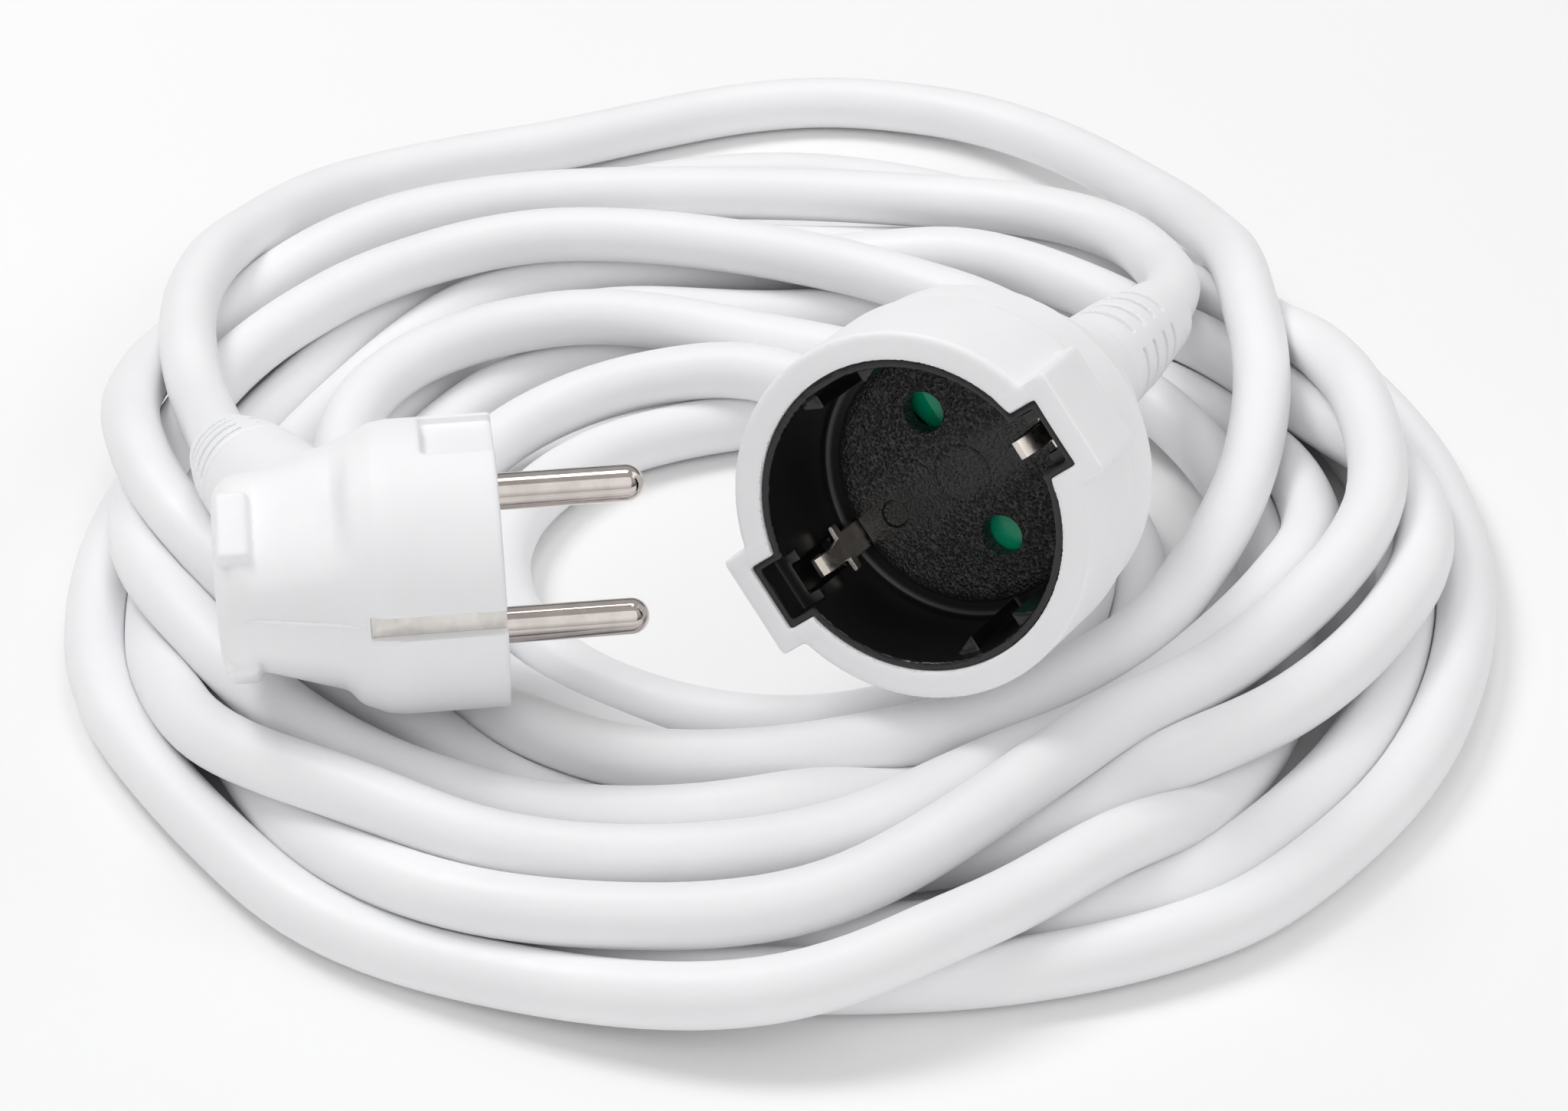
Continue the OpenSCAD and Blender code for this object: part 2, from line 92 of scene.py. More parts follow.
# Turns of the coil, clockwise about COIL_CENTRE. Each turn has a radius and a height
# at every 30 degrees, starting at 180 degrees.
COIL_CENTRE = (0, -18)
STATION_ANGLE = 30
FIRST_ANGLE = 180
LOW = 4.2
TURNS = [
    ((61, 71, 60, 43, 38, 39, 41, 43, 48, 50, 46, 48),
     (11, 11, 11, 11, 7, LOW, LOW, LOW, 5, LOW, LOW, LOW)),
    ((50, 52, 45, 38, 36, 36, 37, 38, 38, 37, 37, 39),
     (LOW, 11, 11, 9, 5, LOW, LOW, LOW, LOW, LOW, LOW, LOW)),
    ((42, 41, 37, 37, 43, 48, 50, 52, 57, 64, 73, 80),
     (LOW, LOW, LOW, LOW, LOW, LOW, LOW, 5, 9, 12, 12, 12)),
    ((90, 91, 86, 70, 63, 66, 69, 75, 82, 94, 92, 92.5),
     (12, 12, 12, 12, 12, 6, 5, 9, 11, 9, LOW, LOW)),
    ((94.5, 94, 102, 107, 100, 97, 95, 94, 91, 87, 85, 75),
     (LOW, LOW, LOW, LOW, LOW, LOW, LOW, LOW, LOW, LOW, LOW, LOW)),
    ((71, 69, 74, 65, 79, 89, 88, 86, 83, 79, 77, 66),
     (LOW, LOW, LOW, LOW, LOW, LOW, LOW, LOW, LOW, LOW, LOW, LOW)),
    ((63, 61, 63, 51, 65, 76, 74, 63, 60, 71, 83, 90),
     (LOW, LOW, LOW, LOW, 6, 12, 13, 13, 14, 13, 13, 12)),
    ((88, 86, 94, 84, 88, 85, 83, 71, 68, 83, 90, 84),
     (LOW, LOW, LOW, LOW, 10, 12, 13, 16, 16, 13, 11, LOW)),
    ((80, 78, 85, 75, 76, 80, 90, 81, 73, 62, 62, 70),
     (LOW, LOW, LOW, LOW, 10, LOW, 12, 11, 9, LOW, LOW, 11)),
]
# The part turns at the coil's two ends: the angle of the first station, radii and heights
FIRST_TURN = (-60, (54, 54, 59, 58), (16, 13, 11, 9))
LAST_TURN = (180, (89, 103, 99, 91), (19, 5, 12.4, 10))

# Heights of the mounts over the faces of the coupler and the plug
ENTRY_HEIGHT, PIN_HEIGHT = -19.05, 8.3

# Camera, in metres and degrees
CAMERA_PLACE = (0, -0.4725, 0.336)
CAMERA_TILT = 54
CAMERA_LENS, CAMERA_SENSOR = 91.4, 36

# Studio, in metres and watts
FLOOR_REACH = 3
DOME_STOPS = ((0.05, 0.1), (0.45, 0.5))
DOME_STRENGTH = 0.95
LIGHT_TARGET = (0, 0, 0.02)
# Name, place, size and power
SOFTBOXES = (
    ("key_light", (-0.5, 0.25, 0.95), 0.4, 4.2),
    ("front_light", (0.1, -1.0, 0.7), 1.6, 4.5),
    ("top_light", (0.05, 0.3, 1.0), 0.32, 1.15),
    ("side_light", (0.9, 0.2, 0.6), 0.8, 1.6),
)


def mount(name):
    """Place and axis of one of the record's mounts, the place in millimetres."""
    found = next(m for m in frame["record"]["mounts"] if m["name"] == name)
    return Vector(found["pos_m"]) / MM, Vector(found["axis"])


def face_frame(live, neutral, ahead):
    """Frame of a pin face: Z out of the face, X from neutral to live, in metres."""
    live_place, axis = mount(live)
    neutral_place, _ = mount(neutral)
    across = (live_place - neutral_place).normalized()
    centre = (live_place + neutral_place) / 2 - axis * ahead
    turn = Matrix((across, axis.cross(across), axis)).transposed().to_4x4()
    return Matrix.Translation(centre * MM) @ turn


coupler = face_frame("live_entry", "neutral_entry", ENTRY_HEIGHT)
plug = face_frame("live_plug_pin", "neutral_plug_pin", PIN_HEIGHT)


def in_part(place, point):
    """A point of a face's own frame, in the part's frame, in millimetres."""
    return tuple((place @ (Vector(point) * MM)) / MM)


# Camera
camera_data = bpy.data.cameras.new("camera")
camera_data.sensor_width = CAMERA_SENSOR
camera_data.lens = CAMERA_LENS
camera = bpy.data.objects.new("camera", camera_data)
camera.location = CAMERA_PLACE
camera.rotation_euler = (math.radians(CAMERA_TILT), 0, 0)
bpy.context.scene.collection.objects.link(camera)
bpy.context.scene.camera = camera
bpy.context.scene.view_settings.view_transform = "Standard"


def coil_points(first_angle, radii, heights):
    """Route points at the stations of one turn."""
    points = []
    for station, (radius, height) in enumerate(zip(radii, heights)):
        angle = math.radians(first_angle - STATION_ANGLE * station)
        x = COIL_CENTRE[0] + radius * math.cos(angle)
        y = COIL_CENTRE[1] + radius * math.sin(angle)
        points.append((x, y, height))
    return points


def smooth_route(points, step, samples=24):
    """Evenly spaced points on a smooth curve through the given ones."""
    given = np.array(points, float)
    ends = np.vstack([2 * given[0] - given[1], given, 2 * given[-1] - given[-2]])
    knots = np.concatenate([[0], np.cumsum(np.sqrt(np.linalg.norm(np.diff(ends, axis=0), axis=1)))])
    fine = []
    for i in range(1, len(ends) - 2):
        t0, t1, t2, t3 = knots[i - 1:i + 3]
        p0, p1, p2, p3 = ends[i - 1:i + 3]
        t = np.linspace(t1, t2, samples, endpoint=False)[:, None]
        a1 = (t1 - t) / (t1 - t0) * p0 + (t - t0) / (t1 - t0) * p1
        a2 = (t2 - t) / (t2 - t1) * p1 + (t - t1) / (t2 - t1) * p2
        a3 = (t3 - t) / (t3 - t2) * p2 + (t - t2) / (t3 - t2) * p3
        b1 = (t2 - t) / (t2 - t0) * a1 + (t - t0) / (t2 - t0) * a2
        b2 = (t3 - t) / (t3 - t1) * a2 + (t - t1) / (t3 - t1) * a3
        fine.append((t2 - t) / (t2 - t1) * b1 + (t - t1) / (t2 - t1) * b2)
    fine = np.vstack(fine + [given[-1:]])
    along = np.concatenate([[0], np.cumsum(np.linalg.norm(np.diff(fine, axis=0), axis=1))])
    even = np.linspace(0, along[-1], int(along[-1] / step) + 1)
    return np.stack([np.interp(even, along, fine[:, axis]) for axis in range(3)], axis=1)


def close_pairs(line, reach, apart):
    """Pairs of points nearer than reach that are more than apart points from each other."""
    square = (line ** 2).sum(1)
    distance = square[:, None] + square[None, :] - 2 * line @ line.T
    low, high = np.nonzero(distance < reach ** 2)
    keep = high - low > apart
    return low[keep], high[keep]


def neighbour_mean(values, reach):
    """Mean of the values on either side, at a distance of reach points."""
    mean = values.copy()
    mean[reach:-reach] = 0.5 * (values[2 * reach:] + values[:-2 * reach])
    return mean


def ease(line, rounds=1):
    """Opens out bends that are tighter than the lead allows."""
    most_sag = (BEND_REACH * STEP) ** 2 / 2 / TIGHTEST_BEND
    for _ in range(rounds):
        middle = neighbour_mean(line, BEND_REACH)
        sag = np.linalg.norm(middle - line, axis=1)
        line += (middle - line) * (EASE * np.maximum(0, 1 - most_sag / sag.clip(1e-6)))[:, None]


def push_out(line, blocks):
    """Moves the points of a line out of blocks, which are cones with round ends."""
    for start, end, start_radius, end_radius in blocks:
        axis = end - start
        along = ((line - start) @ axis / (axis @ axis)).clip(0, 1)
        away = line - start - along[:, None] * axis
        distance = np.linalg.norm(away, axis=1)
        room = start_radius + along * (end_radius - start_radius) + CORD_RADIUS
        line += away * (np.maximum(0, room - distance) / distance.clip(1e-6))[:, None]


def settle(route, held, blocks):
    """Lets the lead come to rest: it sinks, stays stiff, lies on the floor and on itself, and
    stays out of the blocks. The lengths in held stay in place at the lead's two ends."""
    start, end = int(held[0] / STEP), len(route) - int(held[1] / STEP)
    route = route.copy()
    ease(route[start:end], ROUNDS)
    line = route.copy()
    for count in range(ROUNDS):
        if count % SEARCH_EVERY == 0:
            low, high = close_pairs(line, CORD_DIAMETER + TOUCH_ROOM, int(TOUCH_APART / STEP))
        line[:start], line[end:] = route[:start], route[end:]
        line[:, 2] -= SINK if count < SINKING_SHARE * ROUNDS else LAST_SINK
        line[:, :2] += HOLD * (route - line)[:, :2]
        for reach in (BEND_REACH, BEND_REACH // 2):
            line[:, 2] += STIFF * (neighbour_mean(line[:, 2], reach) - line[:, 2])
            moved = line - route
            line[:, :2] += SIDE_STIFF * (neighbour_mean(moved, reach) - moved)[:, :2]
        ease(line)
        for _ in range(PARTINGS):
            apart = line[low] - line[high]
            gap = np.linalg.norm(apart, axis=1)
            touch = gap < CORD_DIAMETER
            a, b = low[touch], high[touch]
            push = apart[touch] * ((CORD_DIAMETER - gap[touch]) / gap[touch] / 2)[:, None]
            share = np.sqrt(np.bincount(np.concatenate([a, b]), minlength=len(line)).clip(1))
            move = np.zeros_like(line)
            np.add.at(move, a, push)
            np.add.at(move, b, -push)
            line += move / share[:, None]
            push_out(line[start:end], blocks)
            line[:, 2] = np.maximum(line[:, 2], CORD_RADIUS)
    line[:start], line[end:] = route[:start], route[end:]
    for _ in range(SMOOTHINGS):
        line[1:-1] = 0.25 * line[:-2] + 0.5 * line[1:-1] + 0.25 * line[2:]
    return line


def tube(line, radius, sides):
    """Points and faces of a round tube along a line, closed at both ends."""
    ahead = np.gradient(line, axis=0)
    ahead /= np.linalg.norm(ahead, axis=1)[:, None]
    side = np.cross(ahead, (0, 0, 1))
    side /= np.linalg.norm(side, axis=1)[:, None]
    up = np.cross(side, ahead)
    turn = np.arange(sides) * 2 * math.pi / sides
    rings = (line[:, None] + radius * (np.cos(turn)[None, :, None] * side[:, None]
                                       + np.sin(turn)[None, :, None] * up[:, None]))
    return loft(rings)


def loft(rings):
    """Points and faces of a closed skin through rings that have the same number of points."""
    rings = [[tuple(p) for p in ring] for ring in rings]
    n = len(rings[0])
    points = [p for ring in rings for p in ring]
    faces = [tuple(range(n))[::-1], tuple(len(points) - n + k for k in range(n))]
    for i in range(len(rings) - 1):
        for k in range(n):
            j = (k + 1) % n
            faces.append((i * n + k, i * n + j, (i + 1) * n + j, (i + 1) * n + k))
    return points, faces


def add_piece(name, surface, material, place=None):
    """Makes a piece from points and faces in millimetres and lets it ride on its body."""
    points, faces = surface
    mesh = bpy.data.meshes.new(name)
    mesh.from_pydata([tuple(c * MM for c in p) for p in points], [], faces)
    shape = bmesh.new()
    shape.from_mesh(mesh)
    bmesh.ops.recalc_face_normals(shape, faces=shape.faces)
    shape.to_mesh(mesh)
    shape.free()
    mesh.shade_smooth()
    mesh.set_sharp_from_angle(angle=SHARP_ANGLE)
    mesh.materials.append(material)
    piece = bpy.data.objects.new(name, mesh)
    bpy.context.scene.collection.objects.link(piece)
    if place is not None:
        piece.matrix_world = place
    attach(piece, BODY)
    return piece


# Materials
class Shader:
    """A material's node tree, with short ways to add nodes and links."""

    def __init__(self, name, **values):
        self.material = bpy.data.materials.new(name)
        self.material.use_nodes = True
        self.nodes = self.material.node_tree.nodes
        self.links = self.material.node_tree.links
        self.surface = self.nodes["Principled BSDF"]
        for socket, value in values.items():
            self.surface.inputs[socket.replace("_", " ")].default_value = value
        self.place = self.nodes.new("ShaderNodeTexCoord").outputs["Object"]

    def noise(self, scale, detail=3.0, rough=0.5):
        """Noise in the piece's own frame, with the scale per metre."""
        node = self.nodes.new("ShaderNodeTexNoise")
        node.inputs["Scale"].default_value = scale
        node.inputs["Detail"].default_value = detail
        node.inputs["Roughness"].default_value = rough
        self.links.new(self.place, node.inputs["Vector"])
        return node.outputs["Fac"]

    def ramp(self, source, stops):
        """A ramp through (place, grey or colour) stops."""
        node = self.nodes.new("ShaderNodeValToRGB")
        self.links.new(source, node.inputs["Fac"])
        stops = [(at, value if hasattr(value, "__len__") else (value,) * 3) for at, value in stops]
        elements = node.color_ramp.elements
        elements[0].position, elements[1].position = stops[0][0], stops[-1][0]
        for at, _ in stops[1:-1]:
            elements.new(at)
        for element, (_, value) in zip(elements, stops):
            element.color = (*value, 1)
        return node.outputs["Color"]

    def math(self, operation, *values):
        """A math node on numbers and other nodes' outputs."""
        node = self.nodes.new("ShaderNodeMath")
        node.operation = operation
        for socket, value in zip(node.inputs, values):
            if hasattr(value, "is_linked"):
                self.links.new(value, socket)
            else:
                socket.default_value = value
        return node.outputs["Value"]

    def drive(self, source, socket):
        """Links an output to a socket of the surface."""
        self.links.new(source, self.surface.inputs[socket])

    def vary_roughness(self, roughness, scale, change=0.06):
        """Roughness that changes a little from place to place."""
        stops = [(0.3, roughness - change), (0.7, roughness + change)]
        self.drive(self.ramp(self.noise(scale, detail=4), stops), "Roughness")

    def bump(self, layers):
        """Bump from (height, strength, distance) layers, one on another."""
        below = None
        for height, strength, distance in layers:
            node = self.nodes.new("ShaderNodeBump")
            node.inputs["Strength"].default_value = strength
            node.inputs["Distance"].default_value = distance
            self.links.new(height, node.inputs["Height"])
            if below is not None:
                self.links.new(below, node.inputs["Normal"])
            below = node.outputs["Normal"]
        self.links.new(below, self.surface.inputs["Normal"])


def white_pvc(name, tone, roughness):
    """Satin white PVC with faint clouding and a fine moulded skin."""
    shader = Shader(name, IOR=1.5, Subsurface_Weight=0.12, Subsurface_Scale=0.002)
    shader.surface.inputs["Subsurface Radius"].default_value = (1.0, 0.9, 0.8)
    dim = tuple(c * 0.965 for c in tone)
    clouds = shader.noise(scale=45, detail=4)
    shader.drive(shader.ramp(clouds, [(0.35, dim), (0.65, tone)]), "Base Color")
    shader.vary_roughness(roughness, scale=400)
    waves, pores = shader.noise(scale=220, detail=2), shader.noise(scale=2500)
    shader.bump([(waves, 0.08, 0.0004), (pores, 0.12, 0.00008)])
    return shader.material


def plain_moulding(name, tone, roughness):
    """A hard moulding with a fine skin."""
    shader = Shader(name, IOR=1.5)
    dim = tuple(c * 0.8 for c in tone)
    clouds = shader.noise(scale=150, detail=4)
    shader.drive(shader.ramp(clouds, [(0.35, dim), (0.65, tone)]), "Base Color")
    shader.vary_roughness(roughness, scale=600)
    shader.bump([(shader.noise(scale=2000), 0.15, 0.0001)])
    return shader.material


def cup_moulding(name):
    """Black moulding of the coupler's cup: a spark-eroded floor with a smooth band between the
    clips, and polished walls. The floor's colour carries painted glints: bright specks that stand
    in for highlights on the grain."""
    shader = Shader(name, IOR=1.55)
    split = shader.nodes.new("ShaderNodeSeparateXYZ")
    shader.links.new(shader.place, split.inputs["Vector"])
    x, y, z = (split.outputs[axis] for axis in "XYZ")
    # The ramps' places are lengths: from the band's middle in centimetres, from the axis in
    # units of 2 cm, and below a depth of 1.2 cm in centimetres
    from_band = shader.math("MULTIPLY", shader.math("ABSOLUTE", x), 100)
    square = shader.math("MULTIPLY_ADD", x, x, shader.math("MULTIPLY", y, y))
    from_axis = shader.math("MULTIPLY", shader.math("SQRT", square), 50)
    depth = shader.math("MULTIPLY_ADD", z, -100, -1.2)
    beside = shader.ramp(from_band, [(0.25, 0.25), (0.55, 1.0)])
    within = shader.ramp(from_axis, [(0.8, 1.0), (0.88, 0.0)])
    low = shader.ramp(depth, [(0.45, 0.0), (0.5, 1.0)])
    amount = shader.math("MULTIPLY", shader.math("MULTIPLY", beside, within), low)
    grain = shader.math("MULTIPLY", shader.noise(scale=2600, detail=2, rough=0.4), amount)
    # Painted glints: bright specks painted into the grained floor's colour, which also paint the floor
    # lighter than the walls, in place of highlights on the grain
    painted_glints = shader.ramp(shader.noise(scale=2600, detail=2), [(0.45, 0.016), (0.7, 0.11)])
    shader.drive(shader.math("MULTIPLY_ADD", amount, painted_glints, 0.006), "Base Color")
    shader.drive(shader.ramp(amount, [(0.0, 0.3), (0.2, 0.25)]), "Roughness")
    shader.bump([(grain, 1.0, 0.0009), (shader.noise(scale=900), 0.05, 0.0001)])
    return shader.material


def metal(name, tone, roughness):
    """Plated or bare metal with fine handling marks."""
    shader = Shader(name, Metallic=1.0)
    dim = tuple(c * 0.88 for c in tone)
    stains, marks = shader.noise(scale=300, detail=5), shader.noise(scale=900, detail=5)
    shader.drive(shader.ramp(stains, [(0.4, dim), (0.6, tone)]), "Base Color")
    stops = [(0.35, roughness * 0.7), (0.7, roughness * 1.4)]
    shader.drive(shader.ramp(marks, stops), "Roughness")
    shader.bump([(shader.noise(scale=1500, detail=4), 0.05, 0.00005)])
    return shader.material


SHEATH = white_pvc("cord_pvc", (0.925, 0.925, 0.94), 0.46)
SHELL = white_pvc("white_pvc", (0.93, 0.93, 0.945), 0.52)
HARD_WHITE = plain_moulding("white_moulding", (0.8, 0.8, 0.8), 0.35)
BLACK = plain_moulding("black_moulding", (0.012, 0.012, 0.013), 0.38)
GREEN = plain_moulding("green_shutter", (0.0, 0.48, 0.24), 0.3)
CUP = cup_moulding("black_cup")
NICKEL = metal("nickel", (0.7, 0.64, 0.6), 0.09)
SATIN = metal("satin_nickel", (0.86, 0.83, 0.79), 0.45)
CLIP = metal("clip_nickel", (0.93, 0.86, 0.78), 0.34)
BRASS = metal("brass", (0.78, 0.58, 0.28), 0.28)
STEEL = metal("steel", (0.55, 0.55, 0.57), 0.3)
BROWN = plain_moulding("brown_core", (0.11, 0.045, 0.02), 0.45)
BLUE = plain_moulding("blue_core", (0.02, 0.08, 0.35), 0.45)
LIME = plain_moulding("green_yellow_core", (0.32, 0.5, 0.03), 0.45)

NODE_MATERIALS = {
    "coupler_shell": SHELL, "coupler_strain_relief": SHELL, "plug_body": SHELL,
    "plug_strain_relief": SHELL, "plug_bridge": HARD_WHITE, "coupler_insert": BLACK,
    "contact_carrier": BLACK, "shutter": GREEN, "shutter_pivot": STEEL, "shutter_spring": STEEL,
    "coupler_earth_strap": CLIP, "plug_earth_strap": SATIN, "live_pin": NICKEL,
    "neutral_pin": NICKEL, "live_sleeve": BRASS, "neutral_sleeve": BRASS, "coupler_crimps": BRASS,
    "plug_crimps": BRASS, "coupler_live_core": BROWN, "plug_live_core": BROWN,
    "coupler_neutral_core": BLUE, "plug_neutral_core": BLUE, "coupler_earth_core": LIME,
    "plug_earth_core": LIME, "coupler_lead": SHEATH, "plug_lead": SHEATH, "cord_coil": SHEATH,
}
for node_name, node_material in NODE_MATERIALS.items():
    node_mesh = frame["nodes"][node_name].data
    node_mesh.materials.clear()
    node_mesh.materials.append(node_material)

# Sizes of the two ends, from the part's source. Depths are measured from a face.
FIT = 0.05
PIN_OFFSET = 9.5
# Boots
BOOT_BASE_RADIUS, BOOT_MIDDLE_RADIUS, BOOT_TIP_RADIUS = 8, 7.2, 5.5
# Where the slits lie along a boot, as shares of their pitch
SLIT_PHASE, SLITS_START, SLITS_END = 0.9, 0.6, 4.6
# Share of the radius that stays whole beside the planes between the quarters
SLIT_GAP = 0.17

# Plug
PLUG_RADIUS = 19
PLUG_LENGTH = 36.2
PLUG_PROFILE = (
    (-PLUG_LENGTH, 12.7), (-30.6, 13.6), (-26, 14.9), (-20.8, 16.4), (-18, 17.7), (-15.6, 18.7),
    (-13.5, PLUG_RADIUS),
)
OUTLET_SLANT = math.radians(22)
OUTLET_START = 18.6
OUTLET_LENGTH = 32.5
OUTLET_RADIUS = 9.8
PLUG_BOOT = 12
GRIP_ANGLE = math.radians(56)
PANEL_BACK, PANEL_FRONT = (-31.4, 12), (-20.3, 15.4)
PAD_BACK, PAD_TOP, PAD_WIDTH = -35.6, 13.2, 10
GROOVE_WIDTH, GROOVE_FLOOR, GROOVE_LENGTH = 11.2, 17, 9.3
PLUG_STRAP_WIDTH, PLUG_STRAP_INNER, PLUG_STRAP_END = 3, 16.6, 17
BRIDGE_RADIUS, BRIDGE_DEPTH = 14.5, 6
PIN_RADIUS, PIN_LENGTH = 2.4, 19
# Tail, collar and root of a pin, as (height, radius) pairs
PIN_TAIL = [
    (-12, 2), (-6, 2), (-6, 3.4), (-3, 3.4), (-3, 2.7), (-0.1, 2.7), (-0.05, PIN_RADIUS),
]
# Rings of a pin's round tip, and the angle that its small flat takes up
TIP_RINGS, TIP_FLAT = 14, 0.06
# Parting line under the plug, as (radius, height) pairs
SEAM = (
    (17.75, -17.4), (16.4, -20.8), (14.9, -26), (13.6, -30.6), (12.95, -33), (12.3, -34.8),
    (11, -35.9),
)
SEAM_RADIUS = 0.28
# Sideways shift from point to point, so that no stretch of the line is upright
SEAM_DRIFT = 0.01
SEAM_STEP = 0.4

# Coupler
SHELL_RADIUS, SHELL_STEP = 24.4, 16.8
REAR_RADIUS, REAR_END = 23.5, 25.2
NECK_END = 60
NECK_PROFILE = (
    (-NECK_END, 8.4), (-56, 8.9), (-51, 10.6), (-46, 13.2), (-40, 16.4), (-34, 19), (-28, 21.6),
    (-25.4, 22.2),
)
HOLLOW_PROFILE = ((-54, 6.05), (-51, 6.4), (-42.2, 12.8), (-37, 15.05))
COUPLER_BOOT = 30
EAR_WIDTH, EAR_REACH, EAR_LENGTH, EAR_SLOPE = 14.4, 27.2, 15, 0.12
INSERT_RADIUS, INSERT_FRONT, INSERT_BACK = 20.7, 0.5, 20.6
RECESS_RADIUS, RECESS_DEPTH = 19.6, 17.5
NOTCH_WIDTH, NOTCH_REACH, NOTCH_DEPTH = 9.4, 24.1, 14
WALL, STRAP_ROOM, CLIP_ROOM = 1, 0.5, 0.2
LEDGE_DEPTH = 4.2
RIB_REACH, RIB_START, RIB_SLOPE, RIB_TOP = 17.5, 3.4, 0.65, 3
CLIP_WIDTH, CLIP_PLACE, STRAP_BACK = 4, 17.6, 34.2
PIN_HOLE_RADIUS = 2.75
DIMPLE_OFFSET, DIMPLE_RADIUS, DIMPLE_DEPTH = -11.8, 1.8, 0.6
RING_RADIUS, RING_LINE, RING_POINTS = 3.9, 0.19, 65
RING_SINK = 0.02
FINE_LINE_SIDES = 8
# Earth strap: the bar behind the carrier, and one end bent into a clip, as (reach, height, width)
STRAP_BAR = [(CLIP_PLACE, -33, CLIP_WIDTH), (17.2, -33.6, CLIP_WIDTH)]
CLIP_PATH = [
    (CLIP_PLACE, -14, CLIP_WIDTH), (CLIP_PLACE, -12.7, CLIP_WIDTH), (CLIP_PLACE, -12.6, 6.6),
    (17.5, -11.2, 6.6), (17.5, -11.1, 3.2), (17, -8.8, 2.8), (16.4, -6.9, 2.6), (16, -5.6, 2.6),
    (16.05, -4.6, 2.6), (16.5, -3.9, 2.6), (17.2, -3.7, 2.6), (17.9, -4.1, 2.6), (18.4, -4.9, 2.6),
    (18.7, -6, 2.6), (18.8, -7.4, 2.6),
]
STRAP_THICKNESS = 0.6
# Section of a strip with broken corners, as shares of half its width and half its thickness
STRIP_SECTION = (
    (-1, -0.5), (-0.92, -1), (0.92, -1), (1, -0.5), (1, 0.5), (0.92, 1), (-0.92, 1), (-1, 0.5),
)

# Round blocks that the lead stays out of, as (start, end, start radius, end radius)
PLUG_BLOCKS = (
    ((0, 0, -3), (0, 0, -13), PLUG_RADIUS, PLUG_RADIUS),
    ((0, 0, -18), (0, 0, -31), 16, 12),
)
COUPLER_BLOCKS = (
    ((0, 0, -3), (0, 0, -22), SHELL_RADIUS, SHELL_RADIUS),
    ((0, 0, -28), (0, 0, -NECK_END), 21.6, 8.4),
    ((0, 22, -4), (0, 22, -12), 6, 6),
    ((0, -22, -4), (0, -22, -12), 6, 6),
)
COUPLER_BOOT_BLOCK = ((0, 0, -NECK_END), (0, 0, -88), BOOT_BASE_RADIUS, 5.4)
# The same along the plug's cord outlet
OUTLET_BLOCKS = (
    (0, OUTLET_LENGTH, 9, BOOT_BASE_RADIUS),
    (OUTLET_LENGTH, OUTLET_LENGTH + 10, BOOT_BASE_RADIUS, 5.6),
)


# Moulded pieces are given as distances from their surface, negative inside, in the frame
# of the plug's or the coupler's face.
def both(a, b, edge=0.3):
    """What is inside both shapes, with an edge of the given radius."""
    outside = np.hypot(np.maximum(a + edge, 0), np.maximum(b + edge, 0))
    return np.minimum(np.maximum(a, b), -edge) + outside


def either(a, b, fillet=0.3):
    """What is inside either shape, with a fillet of the given radius."""
    return -both(-a, -b, fillet)


def without(a, b, edge=0.3):
    """What is inside the first shape and outside the second."""
    return both(a, -b, edge)


def span(value, low, high):
    """The space between two parallel planes."""
    return np.maximum(low - value, value - high)


def skin(shape, low, high, cell, probe=0.05, draws=3):
    """Points and even quads of a shape's surface, found on a grid and then drawn onto the shape."""
    unit = np.eye(3, dtype=int)
    axes = [np.arange(a, b + cell, cell) for a, b in zip(low, high)]
    value = shape(*np.meshgrid(*axes, indexing="ij"))
    inside = value < 0
    sums = np.zeros((4, value.size))
    faces = []
    for axis in range(3):
        near = np.argwhere(np.diff(inside, axis=axis))
        a, b = value[tuple(near.T)], value[tuple((near + unit[axis]).T)]
        crossing = near + (a / (a - b))[:, None] * unit[axis]
        u, v = unit[axis - 2], unit[axis - 1]
        around = [np.ravel_multi_index((near - back).T, value.shape)
                  for back in (0 * u, u, u + v, v)]
        for cells in around:
            for k in range(3):
                sums[k] += np.bincount(cells, crossing[:, k], value.size)
            sums[3] += np.bincount(cells, minlength=value.size)
        faces.append(np.stack(around, 1))
    used, faces = np.unique(np.vstack(faces), return_inverse=True)
    points = np.array(low) + cell * (sums[:3, used] / sums[3, used]).T
    for _ in range(draws):
        slope = np.stack([(shape(*(points + s).T) - shape(*(points - s).T)) / 2 / probe
                          for s in probe * unit], 1)
        steepness = (slope ** 2).sum(1).clip(0.1)
        move = slope * (shape(*points.T) / steepness)[:, None]
        points -= move.clip(-cell / 2, cell / 2)
    return points.tolist(), faces.reshape(-1, 4).tolist()


def turned(x, y, z, profile):
    """A solid of revolution about Z from (height, radius) pairs."""
    heights, radii = zip(*profile)
    return np.hypot(x, y) - np.interp(z, heights, radii)


